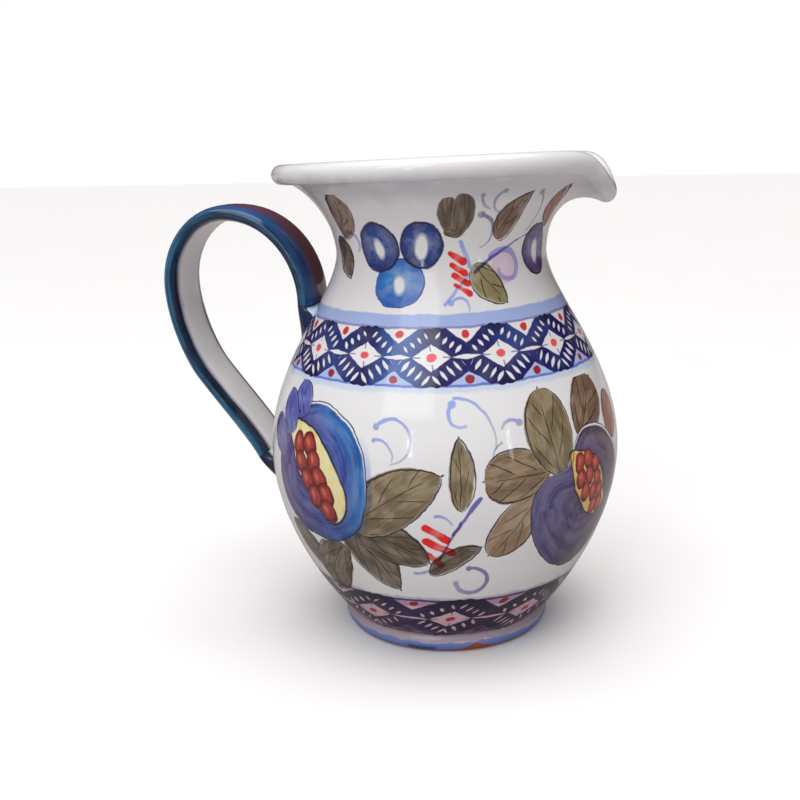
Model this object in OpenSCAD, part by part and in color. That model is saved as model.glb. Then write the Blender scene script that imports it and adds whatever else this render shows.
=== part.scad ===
// Glazed earthenware pitcher: a thrown body with a pulled pouring lip, and a strap handle.
// Millimetres. +Z is up, +X points to the pouring lip and -X to the handle. The origin is on the
// turning axis, in the plane that the foot stands on.

/* [Body] */
// Height of the rim on the turning axis
rim_h = 210.6; // [207:0.2:215]
// Radius of the rim at the outside of its rolled edge
rim_r = 72.4; // [70:0.2:75]
// Radius of the rolled edge's own roundness
bead_r = 4; // [3.5:0.1:4.5]
// Largest radius of the belly
belly_r = 78; // [75:0.5:82]
// Height of the widest part of the belly
belly_z = 84; // [80:1:88]
// Radius of the neck where it is narrowest
neck_r = 46; // [44:0.5:48]
// Height of the narrowest part of the neck
neck_z = 171; // [168:1:173]
// Thickness of the thrown wall
wall = 5; // [4:0.5:5.5]
// Rise of the rim toward the lip, as a slope
rim_slope = 0.0245; // [0:0.005:0.04]

/* [Foot] */
// Height of the turned foot ring
foot_h = 8; // [7:0.5:9]
// Radius of the foot ring at its widest
foot_r = 47; // [46:0.5:49]
// Radius of the recess inside the foot ring
recess_r = 36; // [32:1:38]
// Thickness of the floor
floor_t = 6; // [5:0.5:7]

/* [Pouring lip] */
// Radius of the lip's tip
lip_r = 75.4; // [74:0.2:78]
// How far the tip hangs below the rim
lip_drop = 12.5; // [10:0.5:15]
// Half width of the lip as an angle about the axis
lip_spread = 10.5; // [9:0.5:14]

/* [Handle] */
// Width of the strap
strap_w = 33; // [30:1:36]
// Thickness of the strap
strap_t = 8; // [7:0.5:9]
// How far the handle stands out from the axis
handle_reach = 125; // [121:1:129]
// Height of the top of the handle's bend
handle_top = 188.5; // [186:0.5:191]

/* [Glaze] */
// Thickness of the fired glaze
glaze_t = 0.3; // [0.2:0.05:0.4]

/* [Hidden] */
// Radius of the cove between the foot ring and the belly
cove_r = foot_r - 1.8;
// Facets round the axis
around = 56;
// Sides of the strap's section
strap_sides = 16;
// Rings along each bend of the strap
strap_rings = 7;
// Rings across each joint of slip
joint_rings = 5;
// The spread of slip beyond the strap's outline, where it meets the body
slip = 4.5;

function mix(a, b, k) = a + (b - a) * k;
function clamp01(v) = max(0, min(1, v));
function smooth(v) = let (c = clamp01(v)) c * c * (3 - 2 * c);
function flip(run) = [for (i = [len(run) - 1:-1:0]) run[i]];
function bezier(p, t) = let (u = 1 - t)
    u * u * u * p[0] + 3 * u * u * t * p[1] + 3 * u * t * t * p[2] + t * t * t * p[3];
function bezier_run(p, n) = [for (i = [1:n]) bezier(p, i / n)];
function arc_run(centre, r, from, to, n) =
    [for (i = [0:n]) let (a = mix(from, to, i / n)) centre + r * [cos(a), sin(a)]];

// The section through the wall, as [radius, height]. k is 0 at the plain rim and 1 at the lip's tip.
bead_centre = [rim_r - bead_r, rim_h - bead_r];
lip_centre = [lip_r - bead_r, rim_h - bead_r - lip_drop];
function rim_centre(k) = mix(bead_centre, lip_centre, k);
function rim_start(k) = mix(-125, -110, k);
function rim_end(k) = mix(95, 100, k);
function rim_point(k, a) = rim_centre(k) + bead_r * [cos(a), sin(a)];
function belly_run() = bezier_run(
    [[cove_r, foot_h], [cove_r + 15, foot_h + 16], [belly_r, belly_z - 29], [belly_r, belly_z]], 9);
function shoulder_run() = bezier_run(
    [[belly_r, belly_z], [belly_r, belly_z + 39], [neck_r, neck_z - 18], [neck_r, neck_z]], 10);
function flare_run(k) = bezier_run(
    [[neck_r, neck_z], [neck_r, neck_z + mix(13, 17, k)],
     rim_point(k, rim_start(k)) - mix([10, 4.5], [13, -6], k), rim_point(k, rim_start(k))], 7);
function outer_run(k) = concat([[cove_r, foot_h]], belly_run(), shoulder_run(), flare_run(k));
function foot_edge(from) = [for (i = [from:5]) bezier(
    [[foot_r - 4.5, 0], [foot_r - 0.5, 1.5], [foot_r + 1.5, foot_h - 3], [cove_r, foot_h]], i / 6)];
function bead_run(k) = arc_run(rim_centre(k), bead_r, rim_start(k) + 25, rim_end(k), 7);
function throat_run(k) = bezier_run(
    [rim_point(k, rim_end(k)), rim_point(k, rim_end(k)) + mix([-10, -4.5], [-13, 3], k),
     [neck_r - wall + mix(1, 0, k), neck_z + mix(21, 25, k)], [neck_r - wall, neck_z]], 7);
function cavity_run() = concat(
    bezier_run([[neck_r - wall, neck_z], [neck_r - wall, neck_z - 18],
                [belly_r - wall, belly_z + 39], [belly_r - wall, belly_z]], 9),
    bezier_run([[belly_r - wall, belly_z], [belly_r - wall, belly_z - 32],
                [cove_r + 10, foot_h + floor_t + 1], [cove_r - 15, foot_h + floor_t]], 8));
function inner_run(k) = concat(throat_run(k), cavity_run());

// A run moved sideways by d, to its right as it is walked.
function heading(run, i) = let (step = run[min(i + 1, len(run) - 1)] - run[max(i - 1, 0)]) step / norm(step);
function beside(run, d) =
    [for (i = [0:len(run) - 1]) let (h = heading(run, i)) run[i] + d * [h.y, -h.x]];

// Places on the body: the rim climbs toward the lip above the neck.
function lip_k(phi) = exp(-pow(phi / lip_spread, 2) / 2);
function wrap(phi) = phi > 180 ? phi - 360 : phi;
function place(q, phi) = let (climb = smooth((q.y - neck_z) / (rim_h - neck_z)))
    [q.x * cos(phi), q.x * sin(phi), q.y + rim_slope * q.x * cos(phi) * climb];
// Rings about the axis: sections[j] is the section at facet j.
function turned(sections) = [for (i = [0:len(sections[0]) - 1])
    [for (j = [0:around - 1]) place(sections[j][i], 360 * j / around)]];
function facet_k(j) = lip_k(wrap(360 * j / around));

// The handle's centre line, as [distance from the axis, height].
strap_bends = [
    [[60.5, 148], [60, 168], [handle_reach - 50, handle_top], [handle_reach - 27, handle_top]],
    [[handle_reach - 27, handle_top], [handle_reach - 12, handle_top],
     [handle_reach, handle_top - 15], [handle_reach, handle_top - 32]],
    [[handle_reach, handle_top - 32], [handle_reach, handle_top - 47],
     [handle_reach - 7, handle_top - 64.5], [handle_reach - 13, handle_top - 73]],
    [[handle_reach - 13, handle_top - 73], [handle_reach - 22, handle_top - 85],
     [88.5, 87], [83.5, 77.5]]];
strap_line = concat([strap_bends[0][0]], [for (bend = strap_bends) each bezier_run(bend, strap_rings)]);

// A flat, round-edged outline of the strap: [across, through].
function rounded(v) = sign(v) * pow(abs(v), 0.6);
function strap_outline(grow) = [for (j = [0:strap_sides - 1]) let (a = 360 * j / strap_sides)
    [(strap_w / 2 + grow) * rounded(cos(a)), (strap_t / 2 + grow) * rounded(sin(a))]];
function strap_ring(i, grow) = let (c = strap_line[i], h = heading(strap_line, i))
    [for (q = strap_outline(grow)) [-(c.x + q.y * h.y), q.x, c.y - q.y * h.x]];
function strap_mesh(grow) = [for (i = [0:len(strap_line) - 1]) strap_ring(i, grow)];

// The height along the body's outside decides its radius there.
skin_run = beside(outer_run(0), glaze_t);
function skin_r(z) = lookup(z, [for (q = skin_run) [q.y, q.x]]);
function on_body(y, z) = let (r = skin_r(z)) [-sqrt(r * r - y * y), y, z];

// Slip that joins the strap's end ring to a patch on the body, centred at height z. Its outline on
// the body is the strap's, grown by the slip and stretched to reach tall above and below z. tall is
// negative where the strap's inner face looks down.
function patch_ring(z, tall, size) = [for (q = strap_outline(slip))
    on_body(q.x * size, z + q.y / (strap_t / 2 + slip) * tall * size)];
function joint_side(ring, foot) = [for (i = [0:joint_rings])
    let (t = i / joint_rings, reach = 1 - pow(1 - t, 0.6))
    [for (j = [0:strap_sides - 1]) [mix(ring[j].x, foot[j].x, t),
        mix(ring[j].y, foot[j].y, reach), mix(ring[j].z, foot[j].z, mix(t, reach, 0.5))]]];
function joint_mesh(ring, z, tall) =
    concat(joint_side(ring, patch_ring(z, tall, 1)), [for (s = [0.66, 0.33]) patch_ring(z, tall, s)]);

module skin(rings, looped = false) {
    n = len(rings[0]);
    m = len(rings);
    sides = [for (i = [0:looped ? m - 1 : m - 2]) for (j = [0:n - 1])
        each let (a = i * n + j, b = i * n + (j + 1) % n, c = ((i + 1) % m) * n + j,
                  d = ((i + 1) % m) * n + (j + 1) % n) [[a, c, b], [b, c, d]]];
    caps = looped ? [] : [[for (j = [0:n - 1]) j], [for (j = [n - 1:-1:0]) (m - 1) * n + j]];
    polyhedron([for (ring = rings) each ring], concat(sides, caps));
}

// Thrown wall: belly, neck, flared rim, pulled lip and the floor in one piece of clay.
module body_wall() {
    color("tan")
        skin(turned([for (j = [0:around - 1]) let (k = facet_k(j))
            concat(outer_run(k), bead_run(k), inner_run(k))]));
}

// Turned ring under the floor, with the flat edge that the pitcher stands on.
module foot_ring() {
    color("sandybrown") rotate_extrude($fn = 96) polygon(concat(
        [[recess_r, 0]],
        foot_edge(0),
        [[cove_r, foot_h], [recess_r, foot_h]]));
}

// Pulled strap, from the shoulder over the bend and down to the belly.
module handle_strap() {
    color("tan") skin(strap_mesh(0));
}

module handle_top_joint() {
    color("lightsteelblue") skin(flip(joint_mesh(strap_ring(0, 0), 141, -10.5)));
}

module handle_bottom_joint() {
    color("lightsteelblue") skin(joint_mesh(strap_ring(len(strap_line) - 1, 0), 69.5, 10));
}

// White glaze over the whole outside, from the foot to the top of the rim.
module body_glaze() {
    color("white")
        skin(turned([for (j = [0:around - 1])
            let (k = facet_k(j), run = concat(foot_edge(1), outer_run(k), bead_run(k)))
            concat(beside(run, glaze_t), flip(run))]), looped = true);
}

// White glaze over the inside, from the top of the rim down to the floor.
module lining_glaze() {
    color("whitesmoke")
        skin(turned([for (j = [0:around - 1])
            let (k = facet_k(j), run = concat([rim_point(k, rim_end(k))], inner_run(k)))
            concat(flip(run), beside(run, glaze_t))]));
}

// Blue glaze over the strap, white on its inner face.
module handle_glaze() {
    color("midnightblue") skin(concat(strap_mesh(glaze_t), flip(strap_mesh(0))), looped = true);
}

body_wall();
foot_ring();
handle_strap();
handle_top_joint();
handle_bottom_joint();
body_glaze();
lining_glaze();
handle_glaze();
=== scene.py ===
"""The looks of a hand-painted, glazed pitcher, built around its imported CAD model.

Lengths are millimetres until a mesh is made, and angles round the turning axis are degrees: 0 is the
pouring lip (+X), 180 the handle. The vessel is one clay wall under thin coats of glaze. The coats are
cut where the handle and the lip hide the seam. All painting is procedural: every motif is a node
group that works on (angle, height) over the surface.
"""

import math

import bpy
import numpy as np
from mathutils import Matrix, Vector


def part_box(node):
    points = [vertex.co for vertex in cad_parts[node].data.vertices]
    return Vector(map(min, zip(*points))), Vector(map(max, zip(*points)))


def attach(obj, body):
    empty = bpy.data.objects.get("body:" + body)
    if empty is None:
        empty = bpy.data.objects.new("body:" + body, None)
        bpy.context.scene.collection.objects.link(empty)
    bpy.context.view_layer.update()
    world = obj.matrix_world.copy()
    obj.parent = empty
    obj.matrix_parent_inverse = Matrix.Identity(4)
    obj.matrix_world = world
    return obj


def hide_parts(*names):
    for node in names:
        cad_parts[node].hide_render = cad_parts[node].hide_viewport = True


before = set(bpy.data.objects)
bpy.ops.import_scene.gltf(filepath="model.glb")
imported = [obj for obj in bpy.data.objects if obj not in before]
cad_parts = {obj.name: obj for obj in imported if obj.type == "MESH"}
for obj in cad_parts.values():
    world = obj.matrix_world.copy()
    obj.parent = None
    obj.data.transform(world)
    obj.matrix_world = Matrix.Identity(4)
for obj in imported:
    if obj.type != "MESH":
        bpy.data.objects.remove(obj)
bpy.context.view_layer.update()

MM = 0.001


# ---------------------------------------------------------------- sizes, from the frame


def box_mm(node):
    """A CAD node's lowest and highest corner in millimetres."""
    low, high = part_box(node)
    return np.array(low) / MM, np.array(high) / MM


wall_high = box_mm("body_wall")[1]
foot_low, foot_high = box_mm("foot_ring")
strap_low, strap_high = box_mm("handle_strap")

# where the boxes can't tell a size, it is the CAD's own
glaze_t = box_mm("body_glaze")[1][1] - wall_high[1]
belly_r = wall_high[1]
belly_z = 84.0
neck_r = 0.59 * belly_r
neck_z = 171.0
wall_t = 5.0
bead_r = 4.0
# where the rolled bead starts outside and ends inside, in degrees round it: on the plain rim, at the lip
bead_start = (-125, -110)
bead_end = (95, 100)
rim_r = 0.928 * belly_r
rim_h = 0.994 * wall_high[2]
rim_slope = 0.0245
lip_r = 0.967 * belly_r
lip_drop = 12.5
lip_spread = 10.5
foot_h = foot_high[2]
foot_r = foot_high[1] + 0.15
cove_r = foot_r - 1.8
floor_t = 6.0
floor_z = foot_h + floor_t
strap_w = strap_high[1] - strap_low[1]
strap_t = 8.0
reach = -strap_low[0] - strap_t / 2
handle_top = strap_high[2] - strap_t / 2
slip = 4.5
# each joint's height on the body, and how far above that its slip reaches on the grip's side
top_joint = (141.0, -10.5)
low_joint = (69.5, 10.0)

# how finely the forms are divided
AROUND = 240
FOOT_STEPS, OUTSIDE_STEPS, BEAD_STEPS, INSIDE_STEPS = 10, 34, 18, 30
# the height where the belly's coat meets the shoulder's, behind the woven band's lower edge
SEAM_Z = 122.3
# a coat's hidden face stands this far off the clay
COAT_GAP = 0.02


# ---------------------------------------------------------------- the thrown shape


def mix(a, b, k):
    return a + (b - a) * k


def smooth(v):
    c = np.clip(v, 0, 1)
    return c * c * (3 - 2 * c)


def unit(v):
    """Vectors of length 1, along the last axis."""
    return v / np.maximum(np.linalg.norm(v, axis=-1, keepdims=True), 1e-12)


def pair(r, z, like):
    """A point of the section for every azimuth: r and z may be numbers or arrays."""
    return np.stack([r + 0 * like, z + 0 * like], -1)


def bezier(p, t):
    t = t[:, None]
    u = 1 - t
    a, b, c, d = [q[..., None, :] for q in p]
    return u**3 * a + 3 * u * u * t * b + 3 * u * t * t * c + t**3 * d


def steps(n):
    return np.arange(1, n + 1) / n


def lip_share(phi):
    """0 on the plain rim, 1 at the tip of the pouring lip."""
    wrapped = (phi + 180) % 360 - 180
    return np.exp(-((wrapped / lip_spread) ** 2) / 2)


def rim_centre(k):
    r = mix(rim_r, lip_r, k) - bead_r
    return pair(r, rim_h - bead_r - lip_drop * k, k)


def rim_point(k, degrees):
    """A point of the rolled bead, at a turn round its section."""
    a = np.radians(degrees + 0 * k)
    return rim_centre(k) + bead_r * np.stack([np.cos(a), np.sin(a)], -1)


def foot_run(k, n):
    """The foot's outside, from just above the standing edge up to the cove."""
    p = [
        pair(foot_r - 4.5, 0, k),
        pair(foot_r - 0.5, 1.5, k),
        pair(foot_r + 1.5, foot_h - 3, k),
        pair(cove_r, foot_h, k),
    ]
    return bezier(p, np.linspace(1 / 6, 1, n))


def outside_run(k, n):
    """From the cove up over the belly, the neck and the flare to the rolled rim."""
    start = rim_point(k, mix(*bead_start, k))
    lean = np.stack([mix(10, 13, k), mix(4.5, -6, k)], -1)
    curves = [
        [(cove_r, foot_h), (cove_r + 15, foot_h + 16), (belly_r, belly_z - 29), (belly_r, belly_z)],
        [(belly_r, belly_z), (belly_r, belly_z + 39), (neck_r, neck_z - 18), (neck_r, neck_z)],
    ]
    runs = [bezier([pair(r, z, k) for r, z in curve], steps(n)) for curve in curves]
    flare = [pair(neck_r, neck_z, k), pair(neck_r, neck_z + mix(13, 17, k), k), start - lean, start]
    runs.append(bezier(flare, steps(n)))
    return np.concatenate(runs, 1)


def bead_run(k, n):
    """Round the rolled rim, from its outside over the top to its inside."""
    from_a, to_a = mix(*bead_start, k), mix(*bead_end, k)
    return np.stack([rim_point(k, mix(from_a, to_a, t)) for t in steps(n)], 1)


def inside_run(k, n):
    """From the top of the rim down the throat and the hollow belly to the floor."""
    top = rim_point(k, mix(*bead_end, k))
    lean = np.stack([mix(-10, -13, k), mix(-4.5, 3, k)], -1)
    inner, inner_neck = belly_r - wall_t, neck_r - wall_t
    throat = [
        top,
        top + lean,
        pair(inner_neck + mix(1, 0, k), neck_z + mix(21, 25, k), k),
        pair(inner_neck, neck_z, k),
    ]
    curves = [
        [(inner_neck, neck_z), (inner_neck, neck_z - 18), (inner, belly_z + 39), (inner, belly_z)],
        [(inner, belly_z), (inner, belly_z - 32), (cove_r + 10, floor_z + 1), (cove_r - 15, floor_z)],
    ]
    runs = [bezier(throat, steps(n))]
    runs += [bezier([pair(r, z, k) for r, z in curve], steps(n)) for curve in curves]
    floor = [pair((cove_r - 15) * s, floor_z, k)[:, None] for s in (0.75, 0.5, 0.25, 0.06)]
    return np.concatenate(runs + floor, 1)


def turned(section, phi):
    """Turns each azimuth's section into place, with the climb to the lip and a hand's unevenness."""
    r, z = section[..., 0], section[..., 1]
    a = np.radians(phi)[:, None]
    climb = rim_slope * r * np.cos(a) * smooth((z - neck_z) / (rim_h - neck_z))
    hand = smooth((z - foot_h) / 25) * smooth(r / 20)
    uneven = 0.16 * np.sin(2 * a + 0.8) * np.sin(z / 31) + 0.1 * np.sin(3 * a - z / 23)
    rings = 0.05 * np.sin(z / 1.9 + 0.7 * np.sin(a)) * np.sin(z / 17 + 1)
    r = r + hand * (uneven + rings)
    return np.stack([r * np.cos(a), r * np.sin(a), z + climb], -1)


def grid_normals(grid, closed):
    """Normals of a grid of points, by differences. closed says that the first axis runs round."""
    if closed:
        along = np.roll(grid, -1, 0) - np.roll(grid, 1, 0)
    else:
        along = np.gradient(grid, axis=0)
    across = np.gradient(grid, axis=1)
    return unit(np.cross(along, across))


azimuths = np.arange(AROUND) * 360 / AROUND
share = lip_share(azimuths)
shaped = [outside_run(share, OUTSIDE_STEPS), bead_run(share, BEAD_STEPS)]
inside = inside_run(share, INSIDE_STEPS)
outer_sections = np.concatenate([foot_run(share, FOOT_STEPS), *shaped], 1)
outer_grid = turned(outer_sections, azimuths)
outer_normals = grid_normals(outer_grid, True)
inner_grid = turned(np.concatenate([outer_sections[:, -1:], inside], 1), azimuths)
inner_normals = grid_normals(inner_grid, True)
# both coats share one normal along the top of the rim
rim_normals = unit(outer_normals[:, -1] + inner_normals[:, 0])
outer_normals[:, -1] = rim_normals
inner_normals[:, 0] = rim_normals


# ---------------------------------------------------------------- meshes


def put(name, data):
    """A new object of the scene."""
    thing = bpy.data.objects.new(name, data)
    bpy.context.scene.collection.objects.link(thing)
    return thing


def make_object(name, points, faces, normals, material, nodes):
    """A mesh piece in metres that rides on the vessel. normals holds one normal per face corner."""
    mesh = bpy.data.meshes.new(name)
    mesh.from_pydata((np.asarray(points) * MM).tolist(), [], faces)
    mesh.shade_smooth()
    mesh.normals_split_custom_set(normals)
    mesh.materials.append(material)
    piece = put(name, mesh)
    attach(piece, "root")
    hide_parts(*nodes)
    return piece


def quads(rows, columns, looped):
    """The quads of a grid, numbered row by row. looped joins the last row to the first."""
    found = []
    for i in range(rows if looped else rows - 1):
        j = (i + 1) % rows
        for c in range(columns - 1):
            a, b = i * columns + c, j * columns + c
            found.append((a, b, b + 1, a + 1))
    return found


def coat(name, grid, normals, material, nodes, pole=None):
    """A closed thin coat of glaze over part of a grid: a glazed face, a hidden face and the cut edges.

    pole is the height where the last column closes to a point on the axis, as on the floor.
    """
    rows, columns = grid.shape[:2]
    looped = rows == AROUND
    top = (grid + normals * glaze_t).reshape(-1, 3)
    under = (grid + normals * COAT_GAP).reshape(-1, 3)
    count = rows * columns
    faces = quads(rows, columns, looped)
    flat = normals.reshape(-1, 3)
    corner = [flat[v] for f in faces for v in f]
    others = [tuple(reversed([v + count for v in f])) for f in faces]
    corner += [-flat[v - count] for f in others for v in f]
    points = np.concatenate([top, under])
    # each row's first point and the next row's
    turns = [(i * columns, (i + 1) % rows * columns) for i in range(rows if looped else rows - 1)]
    last = columns - 1
    edges = []
    if not looped:
        end = (rows - 1) * columns
        for c in range(last):
            edges += [(c, c + 1), (end + c + 1, end + c)]
    for a, b in turns:
        edges.append((b, a))
        if pole is None:
            edges.append((a + last, b + last))
    for a, b in edges:
        side = unit(np.cross(points[b] - points[a], points[a + count] - points[a]))
        others.append((a, b, b + count, a + count))
        corner += [side] * 4
    if pole is not None:
        centre = np.array([[0, 0, pole + glaze_t], [0, 0, pole + COAT_GAP]])
        points = np.concatenate([points, centre])
        up = np.array([0.0, 0.0, 1.0])
        for i, j in turns:
            a, b = i + last, j + last
            others += [(a, b, 2 * count), (b + count, a + count, 2 * count + 1)]
            corner += [flat[a], flat[b], up, -flat[b], -flat[a], -up]
    return make_object(name, points, faces + others, corner, material, nodes)


def solid(name, grid, normals, poles, material, nodes):
    """A closed turned body: a looped grid, and the heights of its first and last points on the axis."""
    rows, columns = grid.shape[:2]
    faces = quads(rows, columns, True)
    flat = normals.reshape(-1, 3)
    corner = [flat[v] for f in faces for v in f]
    count = rows * columns
    points = np.concatenate([grid.reshape(-1, 3), [(0, 0, z) for z in poles]])
    last = columns - 1
    for i in range(rows):
        here, there = i * columns, (i + 1) % rows * columns
        for a, b, pole, way in ((there, here, count, -1), (here + last, there + last, count + 1, 1)):
            faces.append((a, b, pole))
            corner += [flat[a], flat[b], (0, 0, way)]
    return make_object(name, points, faces, corner, material, nodes)


# ---------------------------------------------------------------- the handle

# the strap's centre line from the shoulder to the belly, in curves of [distance from the axis, height]
STRAP_BENDS = [
    [(60.5, 148), (60, 168), (reach - 50, handle_top), (reach - 27, handle_top)],
    [(reach - 27, handle_top), (reach - 12, handle_top), (reach, handle_top - 15), (reach, handle_top - 32)],
    [(reach, handle_top - 32), (reach, handle_top - 47), (reach - 7, handle_top - 64.5),
     (reach - 13, handle_top - 73)],
    [(reach - 13, handle_top - 73), (reach - 22, handle_top - 85), (88.5, 87), (83.5, 77.5)],
]
# 1 makes the strap's section an ellipse, and less makes it flatter with rounder edges
STRAP_ROUND = 0.68
STRAP_SIDES = 64
STRAP_STEPS = 26
JOINT_STEPS = 16


def strap_line():
    """The strap's centre line, as [distance from the axis, height]."""
    bends = [np.array(bend, float)[:, None, :] for bend in STRAP_BENDS]
    runs = [bends[0][0]]
    runs += [bezier(list(bend), steps(STRAP_STEPS))[0] for bend in bends]
    return np.concatenate(runs)


def strap_outline():
    """The strap's section: a flat oval with round edges, as [across, through]."""
    a = np.linspace(0, math.tau, STRAP_SIDES, endpoint=False)
    oval = np.stack([np.cos(a), np.sin(a)], -1)
    return np.sign(oval) * np.abs(oval) ** STRAP_ROUND * (strap_w / 2, strap_t / 2)


def body_radius(z):
    """The radius of the glazed body at a height below the rim, away from the lip."""
    section = outside_run(np.zeros(1), 60)[0]
    return np.interp(z, section[:, 1], section[:, 0])


def strap_grid():
    """Rings of the strap from the shoulder to the belly, one row for each place round the section."""
    line = strap_line()
    heading = unit(np.gradient(line, axis=0))
    outline = strap_outline()
    along = np.arange(len(line)) / (len(line) - 1)
    pressed = 1 - 0.1 * np.sin(math.pi * along) * np.abs(outline[:, :1] / (strap_w / 2)) ** 6
    across = outline[:, :1] * (1 + 0.012 * np.sin(9 * along + 0.6))
    through = outline[:, 1:] * pressed
    x = -(line[:, 0] + through * heading[:, 1])
    z = line[:, 1] - through * heading[:, 0]
    return np.stack([x, across + 0 * x, z], -1), heading


def patch_edge(z, tall):
    """The edge of a joint's slip on the body: the strap's outline, spread wider and taller."""
    outline = strap_outline()
    y = outline[:, 0] * (1 + slip / (strap_w / 2))
    height = z + outline[:, 1] / (strap_t / 2) * tall
    r = body_radius(height)
    return np.stack([-np.sqrt(r * r - y * y), y, height], -1)


def joint_rows(ring, ring_way, joint):
    """A fillet from the strap's end ring to its seat on the body, both met at their own slope."""
    seat = patch_edge(*joint)
    spread = unit((seat - (0, 0, joint[0])) * (0, 1, 1))
    out = unit(seat * (1, 1, 0))
    spread -= out * (spread * out).sum(1, keepdims=True)
    gap = np.linalg.norm(seat - ring, axis=1, keepdims=True)
    t = steps(JOINT_STEPS)[:, None, None]
    start, end = ring_way * gap * 1.1, spread * gap * 0.9
    rows = (
        (2 * t**3 - 3 * t**2 + 1) * ring
        + (t**3 - 2 * t**2 + t) * start
        + (3 * t**2 - 2 * t**3) * seat
        + (t**3 - t**2) * end
    )
    return rows.transpose(1, 0, 2)


def tube(name, grid, normals, material, nodes):
    """A closed tube from a grid whose rows run round its section."""
    rows, columns = grid.shape[:2]
    faces = [tuple(reversed(f)) for f in quads(rows, columns, True)]
    flat = normals.reshape(-1, 3)
    corner = [flat[v] for f in faces for v in f]
    for column, turn in ((0, 1), (columns - 1, -1)):
        ring = [i * columns + column for i in range(rows)][::turn]
        inward = grid[:, 1 if column == 0 else -2].mean(0) - grid[:, column].mean(0)
        faces.append(tuple(ring))
        corner += [-unit(inward)] * rows
    return make_object(name, grid.reshape(-1, 3), faces, corner, material, nodes)


# ---------------------------------------------------------------- node arithmetic


class Wire:
    """A value in a node tree. Arithmetic on wires adds math nodes, in the order they are needed."""

    def __init__(self, tree, socket):
        self.tree = tree
        self.socket = socket

    def __add__(self, other):
        return calc("ADD", self, other)

    def __sub__(self, other):
        return calc("SUBTRACT", self, other)

    def __rsub__(self, other):
        return calc("SUBTRACT", other, self)

    def __mul__(self, other):
        return calc("MULTIPLY", self, other)

    def __truediv__(self, other):
        return calc("DIVIDE", self, other)

    __radd__ = __add__
    __rmul__ = __mul__


def plug(socket, value):
    """Links a wire to a socket, or sets the socket's own value."""
    if isinstance(value, Wire):
        value.tree.links.new(value.socket, socket)
    else:
        socket.default_value = value


def tree_of(*values):
    """The tree of the first wire among values."""
    return next(v.tree for v in values if isinstance(v, Wire))


def add(tree, kind, inputs=(), output=0, **settings):
    """A new node's output. inputs are its first sockets' values, or a value for each named socket."""
    node = tree.nodes.new("ShaderNode" + kind)
    for label, setting in settings.items():
        setattr(node, label, setting)
    for key, value in inputs.items() if isinstance(inputs, dict) else enumerate(inputs):
        plug(node.inputs[key], value)
    return Wire(tree, node.outputs[output])


def calc(operation, *values, clamp=False):
    return add(tree_of(*values), "Math", values, operation=operation, use_clamp=clamp)


def vector_calc(operation, *values):
    output = "Value" if operation == "DOT_PRODUCT" else "Vector"
    return add(tree_of(*values), "VectorMath", values, output, operation=operation)


def measured(place, start, first, second):
    """How far place lies from start, along each of two ways."""
    q = vector_calc("SUBTRACT", place, start)
    return vector_calc("DOT_PRODUCT", q, first), vector_calc("DOT_PRODUCT", q, second)


def least(a, b):
    return calc("MINIMUM", a, b)


def most(a, b):
    return calc("MAXIMUM", a, b)


def size_of(a):
    return calc("ABSOLUTE", a)


def clamped(a):
    return calc("ADD", a, 0.0, clamp=True)


def edge(depth, soft=0.3):
    """1 where depth is above 0, with an edge that is soft millimetres wide."""
    return calc("MULTIPLY_ADD", depth, 1 / soft, 0.5, clamp=True)


def line(offset, half, soft=0.25):
    """1 within half of an offset of 0."""
    return edge(half - size_of(offset), soft)


def between(value, low, high, soft):
    return edge(least(value - low, high - value), soft)


def length(x, y):
    return calc("SQRT", x * x + y * y)


def hash_of(value):
    """A number from 0 to 1 that jumps about as value changes."""
    return calc("FRACT", calc("SINE", value) * 437.5)


def blend(a, b, share):
    return a + (b - a) * share


def combine(x, y, z):
    return add(tree_of(x, y, z), "CombineXYZ", (x, y, z))


def parts_of(vector):
    node = vector.tree.nodes.new("ShaderNodeSeparateXYZ")
    plug(node.inputs[0], vector)
    return [Wire(vector.tree, s) for s in node.outputs]


def offset(place, centre, scale):
    """How far place lies from centre across and up, in mm. scale is the mm in a degree."""
    q = parts_of(vector_calc("SUBTRACT", place, centre))
    return q[0] * scale, q[1]


def noise(vector, scale=1.0, detail=2.0, rough=0.5, colour=False):
    """Noise from 0 to 1, mostly near 0.5."""
    inputs = {"Vector": vector, "Scale": scale, "Detail": detail, "Roughness": rough}
    return add(vector.tree, "TexNoise", inputs, "Color" if colour else 0)


def grain(x, y, seed, detail=2.0, rough=0.5, scale=1.0):
    """Noise over a flat field of x and y, which seed makes unlike any other."""
    return noise(combine(x, y, seed), scale, detail, rough)


def mix_colours(a, b, share, how="MIX"):
    # a mix node's colours are its inputs 6 and 7 and its output 2
    inputs = {0: share, 6: a, 7: b}
    return add(tree_of(a, b, share), "Mix", inputs, 2, data_type="RGBA", blend_type=how)


def dye(canvas, share, pigment):
    """Pigment over the canvas, as a glaze colour: what is beneath shows through."""
    return mix_colours(canvas, pigment, share, "MULTIPLY")


def float_curve(value, points):
    """A smooth curve through points that run from x = 0 to x = 1."""
    node = value.tree.nodes.new("ShaderNodeFloatCurve")
    curve = node.mapping.curves[0]
    curve.points[0].location = points[0]
    curve.points[1].location = points[-1]
    for x, y in points[1:-1]:
        curve.points.new(x, y)
    node.mapping.update()
    plug(node.inputs["Value"], value)
    return Wire(value.tree, node.outputs[0])


COLOUR_SOCKETS = ("canvas", "wash", "wash_end", "rim", "ink")
VECTOR_SOCKETS = ("place", "base", "axis", "side", "centre", "across", "along", "head")


def socket_kind(label):
    if label in COLOUR_SOCKETS:
        return "NodeSocketColor"
    return "NodeSocketVector" if label in VECTOR_SOCKETS else "NodeSocketFloat"


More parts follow.
